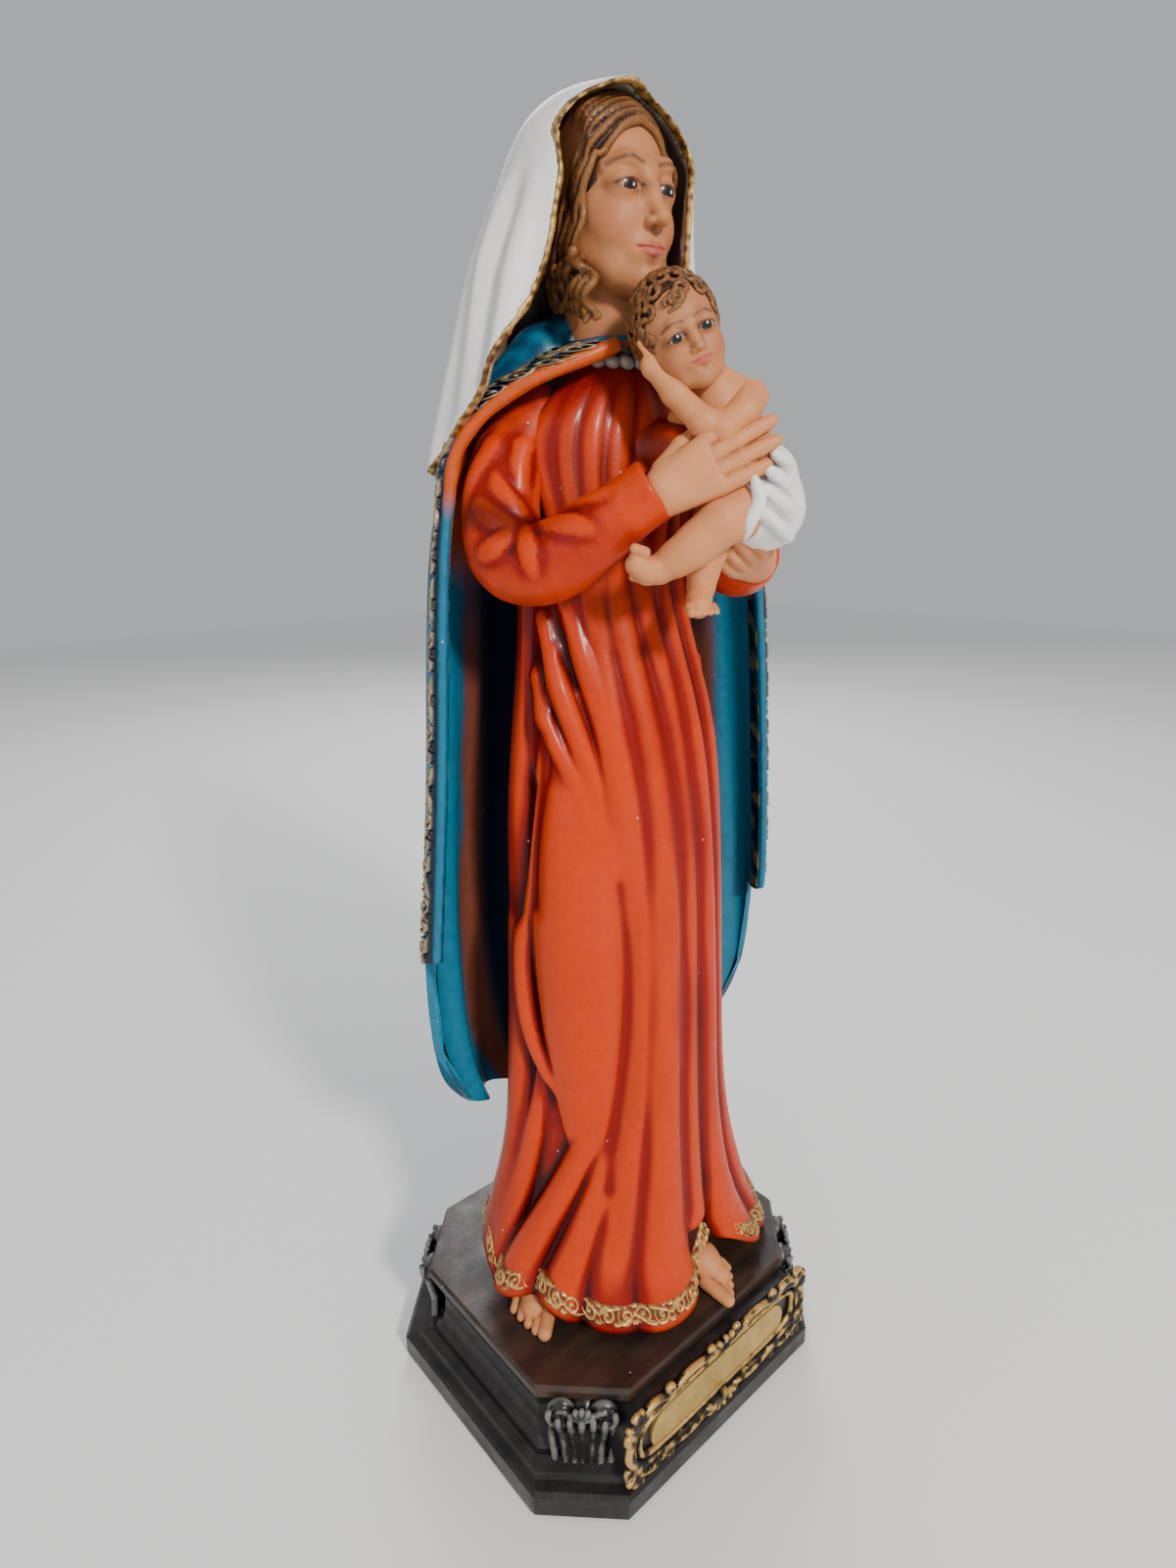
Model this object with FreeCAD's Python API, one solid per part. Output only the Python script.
"""Painted resin statuette: a standing woman in gown, mantle and veil holds a small child, on a chamfered plinth.

Row frame in millimetres: +Z up, origin at the centre of the plinth's underside, the plinth's plaque side
facing -Y. The figure stands turned a little towards -X, so its castings are drawn in a figure frame, where
the body faces -y and her left hand is towards +x, and are turned about Z when they are done.
"""
import FreeCAD
import Part
import math
import os

from FreeCAD import Matrix, Vector

# Plinth
PLINTH_HALF_X = 33.0
PLINTH_HALF_Y = 29.2
PLINTH_CHAMFER = 10.3
PLINTH_TOP = 20.0
FELT_THICK = 0.8
FELT_INSET = 1.5
FOOT_TOP = 6.8
WAIST_TOP = 17.8
WAIST_INSET = 5.4
SLAB_INSET = 3.7
CORBEL_WIDTH = 9.0
CORBEL_REACH = 6.0

# Plaque on the front of the plinth
PLAQUE_HALF_LENGTH = 22.5
PLAQUE_HALF_HEIGHT = 8.2
PLAQUE_CENTRE_Z = 10.8
PLAQUE_FRONT_Y = -27.4
FRAME_RIM = 2.6
FRAME_RAISE = 1.5
NAME_PLATE_HALF_LENGTH = 16.6
NAME_PLATE_HALF_HEIGHT = 3.7
NAME_PLATE_THICK = 0.5

# Figure
FIGURE_TURN = -15.0
MANTLE_EDGE_THICK = 2.4
MANTLE_BACK_THICK = 7.2
BORDER_RADIUS = 1.3
HEM_BAND_TOP = 24.4
HEM_BAND_THICK = 1.4
VEIL_EDGE_THICK = 1.9
VEIL_BACK_THICK = 3.0
VEIL_EDGE_RADIUS = 0.6
CHILD_HEAD = (2.2, -16.6, 169.4)
CHILD_HEAD_RADIUS = 5.2
DOWEL_RADIUS = 2.0
PEG_RADIUS = 1.2

# Horizontal ellipses of the gown: height, centre x, centre y, half width, half depth
GOWN_LEVELS = [
    (PLINTH_TOP, 1.0, -2.0, 27.0, 21.5),
    (24.5, 1.0, -1.5, 25.5, 19.5),
    (34.0, 1.0, -0.5, 21.0, 15.5),
    (55.0, 1.5, -0.5, 18.5, 14.0),
    (85.0, 1.5, -0.5, 17.3, 13.5),
    (115.0, 1.0, -0.5, 16.6, 12.8),
    (137.0, 0.5, 0.0, 14.6, 10.6),
    (150.0, 0.0, 0.0, 14.8, 11.0),
    (158.5, 0.0, 0.0, 13.8, 9.8),
]

# Horizontal ellipses of the relief collar on the gown's shoulders, in the same terms
COLLAR_LEVELS = [
    (158.5, 0.0, 0.0, 15.0, 10.8),
    (162.0, 0.0, -0.2, 13.0, 9.8),
    (166.5, 0.0, -0.5, 8.6, 7.6),
    (169.5, 0.0, -1.4, 6.2, 6.0),
]

# Crescents of the mantle: height, centre x and y, half width, back depth, degrees each arm runs past the side
MANTLE_LEVELS = [
    (44.0, 1.5, 0.0, 21.0, 20.0, -25.0),
    (62.0, 1.5, 0.0, 32.0, 21.0, -4.0),
    (83.0, 1.5, 0.0, 32.0, 20.5, 0.0),
    (110.0, 1.5, 0.0, 29.5, 19.5, 2.0),
    (135.0, 1.0, 0.0, 27.0, 18.0, 4.0),
    (148.0, 0.5, 0.0, 24.9, 16.6, 5.0),
    (157.0, 0.0, 0.0, 22.6, 15.2, 8.0),
    (163.5, 0.0, 0.0, 18.4, 13.2, 30.0),
    (168.0, 0.0, -0.4, 12.0, 10.8, 60.0),
]

# Crescents of the veil, in the same terms, from its point on the back to its crown
VEIL_LEVELS = [
    (136.0, 0.5, 0.0, 28.0, 19.6, -58.0),
    (146.0, 0.3, 0.0, 26.8, 18.6, -34.0),
    (155.0, 0.0, 0.0, 24.8, 17.2, -2.0),
    (162.0, -0.4, -0.3, 22.6, 15.8, 20.0),
    (170.0, -0.8, -0.8, 19.4, 14.2, 34.0),
    (178.0, -0.9, -1.5, 16.0, 13.0, 40.0),
    (186.0, -0.9, -2.4, 13.0, 12.0, 42.0),
    (192.0, -0.7, -3.2, 11.0, 10.6, 48.0),
    (197.0, -0.7, -4.2, 7.6, 8.2, 62.0),
    (200.0, -0.8, -5.0, 4.4, 5.8, 75.0),
]


def ellipsoid(centre, radii):
    """A solid ellipsoid with its axes along the frame's."""
    matrix = Matrix()
    matrix.scale(*radii)
    matrix.move(Vector(*centre))
    return Part.makeSphere(1.0).transformGeometry(matrix)


def limb(stations):
    """A smooth solid through circles, each (x, y, z, radius), that face along the path."""
    centres = [Vector(*station[:3]) for station in stations]
    circles = []
    for index, station in enumerate(stations):
        before = centres[max(index - 1, 0)]
        after = centres[min(index + 1, len(centres) - 1)]
        circle = Part.makeCircle(station[3], centres[index], after - before)
        circles.append(Part.Wire([circle]))
    return Part.makeLoft(circles, True)


def bent_arm(stations):
    """A sleeve as two straight limbs, shoulder to elbow and elbow to cuff, that meet in a ball."""
    shoulder, elbow, cuff = stations
    ball = Part.makeSphere(elbow[3], Vector(*elbow[:3]))
    return joined([limb([shoulder, elbow]), ball, limb([elbow, cuff])])


def joined(shapes):
    """The shapes fused into one."""
    return shapes[0].multiFuse(shapes[1:]).removeSplitter()


def largest_solid(shape):
    return max(shape.Solids, key=lambda solid: solid.Volume)


def octagon(inset, height):
    """The plinth's outline, moved in by inset, as a wire at that height."""
    half_x = PLINTH_HALF_X - inset
    half_y = PLINTH_HALF_Y - inset
    cut = PLINTH_CHAMFER
    quarter = [(half_x, half_y - cut), (half_x - cut, half_y)]
    corners = quarter + [(-x, y) for x, y in reversed(quarter)]
    corners += [(-x, -y) for x, y in quarter] + [(x, -y) for x, y in reversed(quarter)]
    points = [Vector(x, y, height) for x, y in corners]
    return Part.makePolygon(points + points[:1])


def stacked(profile):
    """A solid of flat faces through the plinth's outline at each (inset, height)."""
    return Part.makeLoft([octagon(inset, height) for inset, height in profile], True, True)


def rounded_plate(half_length, half_height, radius, front_y, thick):
    """An upright plate on the plinth's front, with its outer face at front_y and round corners."""
    corners = [(1, 1), (-1, 1), (-1, -1), (1, -1)]
    points = [
        Vector(x * half_length, front_y, PLAQUE_CENTRE_Z + z * half_height) for x, z in corners
    ]
    face = Part.Face(Part.makePolygon(points + points[:1]))
    plate = face.extrude(Vector(0, thick, 0))
    upright = [edge for edge in plate.Edges if abs(edge.tangentAt(edge.FirstParameter).y) > 0.9]
    return plate.makeFillet(radius, upright)


def make_plinth():
    """The plinth's castings, from the felt up, and the plaque's three pieces."""
    felt = stacked([(FELT_INSET, 0.0), (FELT_INSET, FELT_THICK)])
    foot = stacked([
        (0.0, FELT_THICK), (0.0, 4.2), (0.5, 4.8), (1.6, 5.1), (2.0, 6.0), (3.4, FOOT_TOP),
    ])
    waist = stacked([
        (4.0, FOOT_TOP), (4.9, 8.0), (5.4, 10.5), (5.6, 13.5), (5.2, 16.0), (4.6, WAIST_TOP),
    ])
    slab = stacked([
        (4.0, WAIST_TOP), (SLAB_INSET, 18.2), (SLAB_INSET, 19.4), (4.1, PLINTH_TOP),
    ])
    waist_front = -(PLINTH_HALF_Y - WAIST_INSET)
    board = rounded_plate(
        PLAQUE_HALF_LENGTH - 1.0, PLAQUE_HALF_HEIGHT - 1.0, 5.0, PLAQUE_FRONT_Y,
        waist_front - PLAQUE_FRONT_Y + 1.0,
    )
    board = board.cut(joined([foot, waist, slab]))
    frame_outer = rounded_plate(
        PLAQUE_HALF_LENGTH, PLAQUE_HALF_HEIGHT, 6.0, PLAQUE_FRONT_Y - FRAME_RAISE, FRAME_RAISE,
    )
    frame_inner = rounded_plate(
        PLAQUE_HALF_LENGTH - FRAME_RIM, PLAQUE_HALF_HEIGHT - FRAME_RIM, 3.4,
        PLAQUE_FRONT_Y - FRAME_RAISE, FRAME_RAISE,
    )
    name_plate = rounded_plate(
        NAME_PLATE_HALF_LENGTH, NAME_PLATE_HALF_HEIGHT, NAME_PLATE_HALF_HEIGHT - 0.05,
        PLAQUE_FRONT_Y - NAME_PLATE_THICK, NAME_PLATE_THICK,
    )
    return {
        "felt_pad": felt,
        "plinth_foot": foot,
        "plinth_waist": waist,
        "plinth_slab": slab,
        "plaque_board": largest_solid(board),
        "plaque_frame": frame_outer.cut(frame_inner),
        "name_plate": name_plate,
    }


def make_corbel(side_x, side_y, plinth):
    """A scroll bracket on one chamfer of the plinth, with a volute and a ball at its head."""
    outline = [
        (-4.0, 4.9), (2.6, 4.9), (2.2, 7.5), (2.0, 10.5), (2.8, 13.0), (4.6, 14.6), (4.2, 18.4), (-4.0, 18.4),
    ]
    points = [Vector(out, -CORBEL_WIDTH / 2, height) for out, height in outline]
    body = Part.Face(Part.makePolygon(points + points[:1])).extrude(Vector(0, CORBEL_WIDTH, 0))
    volute_radius = 2.1
    volute_out = CORBEL_REACH - volute_radius
    volute = Part.makeCylinder(
        volute_radius, CORBEL_WIDTH + 0.6, Vector(volute_out, -CORBEL_WIDTH / 2 - 0.3, 16.4), Vector(0, 1, 0),
    )
    ball = Part.makeSphere(1.7, Vector(volute_out - 0.6, 0, 18.6))
    corbel = joined([body, volute, ball])
    corbel.rotate(Vector(), Vector(0, 0, 1), math.degrees(math.atan2(side_y, side_x)))
    centre_x = PLINTH_HALF_X - WAIST_INSET - PLINTH_CHAMFER / 2
    centre_y = PLINTH_HALF_Y - WAIST_INSET - PLINTH_CHAMFER / 2
    corbel.translate(Vector(side_x * centre_x, side_y * centre_y, 0))
    return largest_solid(corbel.cut(joined([plinth["plinth_foot"], plinth["plinth_waist"], plinth["plinth_slab"]])))


def ellipse_loft(levels):
    """A solid through horizontal ellipses."""
    sections = []
    for height, x, y, half_width, half_depth in levels:
        centre = Vector(x, y, height)
        ellipse = Part.Ellipse(centre + Vector(half_width, 0, 0), centre + Vector(0, half_depth, 0), centre)
        sections.append(Part.Wire([ellipse.toShape()]))
    return Part.makeLoft(sections, True)


def make_gown():
    """The gown, and its hem band as a ring round its foot."""
    whole = ellipse_loft(GOWN_LEVELS)
    height, x, y, half_width, half_depth = GOWN_LEVELS[0]
    core_radii = (half_width - 2 * HEM_BAND_THICK, half_depth - 2 * HEM_BAND_THICK, 60.0)
    band_box = Part.makeBox(80, 80, HEM_BAND_TOP - height, Vector(-40, -40, height))
    band = whole.common(band_box).cut(ellipsoid((x, y, height), core_radii))
    return whole.cut(band), band


def crescent(height, x, y, half_width, back_depth, past_side, edge_thick, back_thick):
    """A closed wire at one height: an outer arc round the back, an inner arc, and two short ends."""
    start = math.radians(-past_side)
    step = (math.pi - 2 * start) / 12
    arcs = []
    for half_x, half_y in ((half_width, back_depth), (half_width - edge_thick, back_depth - back_thick)):
        points = []
        for index in range(13):
            angle = start + step * index
            points.append(Vector(x + half_x * math.cos(angle), y + half_y * math.sin(angle), height))
        curve = Part.BSplineCurve()
        curve.interpolate(points)
        arcs.append((points, curve.toShape()))
    (outer_points, outer), (inner_points, inner) = arcs
    first_end = Part.makeLine(outer_points[-1], inner_points[-1])
    second_end = Part.makeLine(inner_points[0], outer_points[0])
    return Part.Wire([outer, first_end, inner, second_end])


def crescent_loft(levels, edge_thick, back_thick):
    return Part.makeLoft([crescent(*level, edge_thick, back_thick) for level in levels], True)


def front_edge(levels, side, edge_thick, radius):
    """Stations for a bead on one front edge of a crescent loft; side is 1 on her left and -1 on her right."""
    stations = []
    for height, centre_x, centre_y, half_width, back_depth, past_side in levels:
        angle = math.radians(-past_side)
        x = centre_x + side * (half_width - edge_thick / 2) * math.cos(angle)
        y = centre_y + (back_depth - edge_thick) * math.sin(angle) - radius / 2
        stations.append((x, y, height, radius))
    return stations


def make_hair(head, face_centre, scale, locks):
    """A cap of hair round a head, open at the face, with side locks."""
    x, y, z = face_centre
    cap = ellipsoid((x, y + 1.6 * scale, z + 1.2 * scale), (8.8 * scale, 9.2 * scale, 10.4 * scale))
    face = Part.makeCylinder(6.4 * scale, 30.0, Vector(x, y, z - 1.8 * scale), Vector(0.26, -0.97, -0.05))
    hair = cap.cut(face)
    if locks:
        hair = joined([hair] + [limb(lock) for lock in locks])
    return largest_solid(hair.cut(head))


def make_figure():
    """Every casting of the woman and the child, in the figure frame."""
    gown, hem_band = make_gown()
    head_centre = (-0.4, -4.9, 186.4)
    neck = limb([(-0.2, -2.6, 165.0, 5.4), (-0.2, -3.0, 171.0, 4.4), (-0.3, -3.8, 180.0, 4.4)])
    head = joined([ellipsoid(head_centre, (7.2, 8.6, 10.0)), neck])
    side_locks = [
        [(-8.4, -3.0, 184.0, 1.8), (-8.6, -3.6, 178.0, 2.4), (-7.6, -4.4, 171.5, 2.2)],
        [(7.8, -3.0, 184.0, 1.8), (8.0, -3.6, 178.0, 2.4), (7.0, -4.4, 171.5, 2.2)],
    ]
    hair = make_hair(head, head_centre, 1.0, side_locks)
    figure = {
        "foot_right": limb([(-17.0, -2.0, 23.0, 3.0), (-21.0, -6.5, 23.0, 3.0), (-24.0, -10.0, 22.0, 1.9)]),
        "foot_left": limb([(8.0, -13.0, 23.0, 3.0), (10.0, -18.5, 23.0, 3.0), (11.5, -22.5, 22.0, 1.9)]),
        "hand_right": limb([
            (-6.5, -14.6, 148.2, 2.6), (-1.0, -16.6, 150.8, 2.6), (3.5, -18.6, 153.6, 3.2), (9.0, -20.6, 156.6, 2.0),
        ]),
        "hand_left": limb([
            (17.5, -11.0, 142.2, 2.6), (14.5, -16.0, 142.8, 2.8), (11.5, -19.6, 143.4, 3.0), (7.5, -20.6, 144.6, 2.0),
        ]),
        "child_head": Part.makeSphere(CHILD_HEAD_RADIUS, Vector(*CHILD_HEAD)),
        "child_torso": limb([
            (10.6, -20.0, 148.6, 4.6), (9.2, -19.6, 154.0, 4.9), (7.2, -18.8, 160.0, 4.8), (5.4, -18.0, 164.8, 2.4),
        ]),
        "child_arm_near": limb([
            (10.2, -21.0, 161.4, 2.1), (6.2, -23.2, 158.8, 2.2), (2.4, -21.8, 159.0, 2.0), (-1.8, -16.6, 165.4, 1.6),
        ]),
        "child_arm_far": limb([(3.4, -15.2, 161.6, 2.0), (0.2, -13.6, 159.2, 1.9), (-3.2, -12.8, 161.0, 1.5)]),
        "child_leg_near": limb([
            (10.6, -22.0, 150.0, 3.4), (5.6, -23.0, 149.2, 3.3), (0.6, -20.8, 145.4, 2.6), (-3.4, -18.4, 142.0, 2.2),
        ]),
        "child_leg_far": limb([
            (9.6, -17.6, 147.4, 3.0), (6.6, -17.6, 142.6, 2.7), (5.6, -18.0, 138.8, 2.2), (4.4, -19.2, 136.4, 2.0),
        ]),
        "child_wrap": ellipsoid((11.8, -21.0, 149.8), (5.6, 5.4, 5.6)),
        "head": head,
        "hair": hair,
        "sleeve_right": bent_arm([(-11.5, 0.5, 161.0, 4.4), (-18.0, -3.6, 143.6, 5.0), (-3.6, -15.6, 149.8, 4.2)]),
        "sleeve_left": bent_arm([(11.5, 0.5, 161.0, 4.4), (19.0, -2.6, 143.2, 4.8), (16.0, -12.2, 142.2, 4.2)]),
        "gown": gown,
        "collar": ellipse_loft(COLLAR_LEVELS),
        "hem_band": hem_band,
        "border_right": limb(front_edge(MANTLE_LEVELS[2:-2], -1, MANTLE_EDGE_THICK, BORDER_RADIUS)),
        "border_left": limb(front_edge(MANTLE_LEVELS[2:-2], 1, MANTLE_EDGE_THICK, BORDER_RADIUS)),
        "mantle": crescent_loft(MANTLE_LEVELS, MANTLE_EDGE_THICK, MANTLE_BACK_THICK),
        "veil": crescent_loft(VEIL_LEVELS, VEIL_EDGE_THICK, VEIL_BACK_THICK),
        "veil_edge_right": limb(front_edge(VEIL_LEVELS[2:-1], -1, VEIL_EDGE_THICK, VEIL_EDGE_RADIUS)),
        "veil_edge_left": limb(front_edge(VEIL_LEVELS[2:-1], 1, VEIL_EDGE_THICK, VEIL_EDGE_RADIUS)),
    }
    child_hair = make_hair(figure["child_head"], CHILD_HEAD, 0.62, [])
    figure = {"child_hair": child_hair, **figure}
    pins = {
        "dowels": Part.makeCompound([
            Part.makeCylinder(DOWEL_RADIUS, 20.0, Vector(x, 0, 12.0)) for x in (-8.0, 8.0)
        ]),
        "neck_peg": Part.makeCylinder(PEG_RADIUS, 14.0, Vector(-0.2, -2.8, 159.0)),
        "child_peg": Part.makeCylinder(PEG_RADIUS, 12.0, Vector(5.6, -18.0, 156.0), Vector(-0.3, 1.0, 0.0)),
    }
    return {**pins, **figure}


def without_overlaps(pieces):
    """Each piece less those before it, so that a piece set into another leaves its socket there."""
    finished = {}
    for name, shape in pieces.items():
        for other in finished.values():
            if other.BoundBox.intersect(shape.BoundBox):
                shape = shape.cut(other)
        finished[name] = shape if name == "dowels" else largest_solid(shape)
    return finished


def main():
    plinth = make_plinth()
    for number, (side_x, side_y) in enumerate([(-1, -1), (1, -1), (1, 1), (-1, 1)], start=1):
        plinth[f"corbel_{number}"] = make_corbel(side_x, side_y, plinth)
    figure = make_figure()
    for shape in figure.values():
        shape.rotate(Vector(), Vector(0, 0, 1), FIGURE_TURN)
    nodes = without_overlaps({**figure, **plinth})
    os.makedirs("parts", exist_ok=True)
    for name, shape in nodes.items():
        shape.exportStep(f"parts/{name}.step")
        print(name, len(shape.Solids), shape.isValid(), round(shape.Volume, 1))


main()
